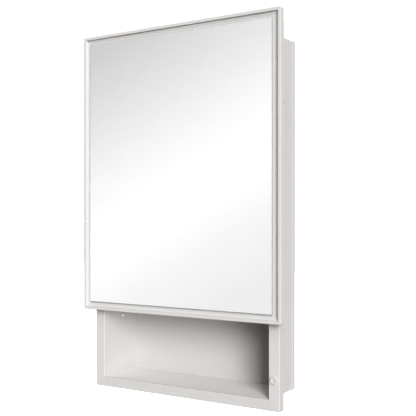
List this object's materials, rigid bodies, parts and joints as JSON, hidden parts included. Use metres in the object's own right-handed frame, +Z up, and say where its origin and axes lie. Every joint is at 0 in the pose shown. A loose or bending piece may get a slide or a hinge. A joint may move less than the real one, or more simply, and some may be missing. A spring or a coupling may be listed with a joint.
{
  "type": "recessed medicine cabinet with mirror door",
  "caption": "Recessed white steel wall cabinet with a hinged mirror door over glass shelves and an open shelf below.",
  "frame": {"origin": "centre of the back panel's rear face", "axes": "+X to the right as seen from the room, +Y into the wall, +Z up"},
  "size_m": [0.412, 0.1218, 0.66],
  "materials": {
    "white_steel": "satin white powder coat on folded steel sheet",
    "inner_white_steel": "satin white powder coat, inner parts",
    "mirror": "silvered float glass, ground edges",
    "shelf_glass": "clear float glass, polished front and back edges",
    "foam": "double-sided foam tape",
    "zinc_steel": "zinc-plated steel",
    "aluminium": "plain dome rivet",
    "white_plastic": "moulded white plastic",
    "button_plastic": "moulded white plastic, semi-gloss",
    "ferrite": "dark grey pressed ferrite",
    "bumper_rubber": "translucent white rubber"
  },
  "bodies": {
    "cabinet": {"left_side_panel": "white_steel", "right_side_panel": "white_steel", "top_panel": "white_steel", "bottom_panel": "white_steel", "back_panel": "white_steel", "divider_shelf": "white_steel", "shelf_standard_left_front": "inner_white_steel", "shelf_standard_left_rear": "inner_white_steel", "shelf_standard_right_front": "inner_white_steel", "shelf_standard_right_rear": "inner_white_steel", "upper_shelf_clips": "zinc_steel", "lower_shelf_clips": "zinc_steel", "hinge_cabinet_leaf": "zinc_steel", "hinge_pin": "zinc_steel", "hinge_cabinet_rivets": "aluminium", "catch_housing": "white_plastic", "catch_magnet": "ferrite", "catch_pole_plates": "zinc_steel", "catch_screws": "zinc_steel", "door_bumpers": "bumper_rubber", "jamb_button": "button_plastic"},
    "door": {"door_front_pan": "white_steel", "door_back_pan": "white_steel", "mirror_glass": "mirror", "mirror_pads": "foam", "door_stiffeners": "inner_white_steel", "hinge_door_leaf": "zinc_steel", "hinge_door_rivets": "aluminium", "strike_plate": "zinc_steel", "strike_rivets": "aluminium"},
    "upper_shelf": {"upper_glass_shelf": "shelf_glass"},
    "lower_shelf": {"lower_glass_shelf": "shelf_glass"}
  },
  "joints": [
    {"name": "door_swing", "type": "hinge", "parent": "cabinet", "child": "door", "pos_m": [-0.195, -0.103, 0.08025], "axis": [0, 0, -1], "range_deg": [0, 110]},
    {"name": "upper_shelf_lift", "type": "slide", "parent": "cabinet", "child": "upper_shelf", "axis": [0, 0, 1], "range_m": [0, 0.025]},
    {"name": "lower_shelf_lift", "type": "slide", "parent": "cabinet", "child": "lower_shelf", "axis": [0, 0, 1], "range_m": [0, 0.025]}
  ]
}
